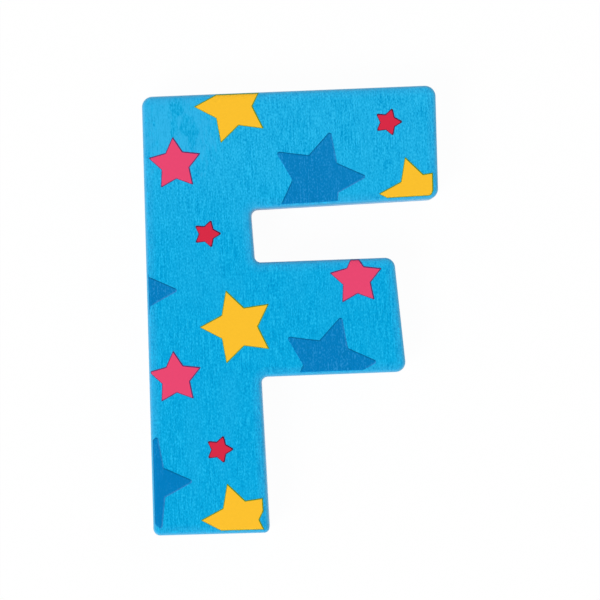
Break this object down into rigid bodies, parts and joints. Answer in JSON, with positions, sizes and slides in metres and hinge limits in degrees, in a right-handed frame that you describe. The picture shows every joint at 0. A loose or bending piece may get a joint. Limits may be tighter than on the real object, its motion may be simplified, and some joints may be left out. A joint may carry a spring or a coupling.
{
  "type": "wooden toy letter",
  "caption": "Flat plywood toy letter F with eased edges and slightly flared arms, painted blue and printed with coloured stars; lies flat or is stuck to a door by its back.",
  "frame": {"origin": "on the back face, under the middle of the letter's bounding box", "axes": "+X to the reader's right along the arms, +Y up the stem, +Z out of the printed front; the letter lies on its back"},
  "size_m": [0.0532, 0.08, 0.0091],
  "materials": {
    "painted_plywood": "thin satin blue paint, wood grain showing through",
    "yellow_ink": "opaque screen-print ink, satin",
    "pink_ink": "opaque screen-print ink, satin",
    "red_ink": "opaque screen-print ink, satin",
    "dark_blue_ink": "see-through screen-print ink, wood grain showing through, satin"
  },
  "bodies": {
    "root": {"back_face_ply": "painted_plywood", "back_cross_ply": "painted_plywood", "core_ply": "painted_plywood", "front_cross_ply": "painted_plywood", "front_face_ply": "painted_plywood", "yellow_star_head": "yellow_ink", "yellow_star_top_arm": "yellow_ink", "yellow_star_waist": "yellow_ink", "yellow_star_foot": "yellow_ink", "pink_star_head": "pink_ink", "pink_star_middle_arm": "pink_ink", "pink_star_waist": "pink_ink", "red_star_top_arm": "red_ink", "red_star_neck": "red_ink", "red_star_stem": "red_ink", "dark_blue_star_top_arm": "dark_blue_ink", "dark_blue_star_middle_arm": "dark_blue_ink", "dark_blue_star_waist": "dark_blue_ink", "dark_blue_star_foot": "dark_blue_ink"}
  },
  "joints": []
}
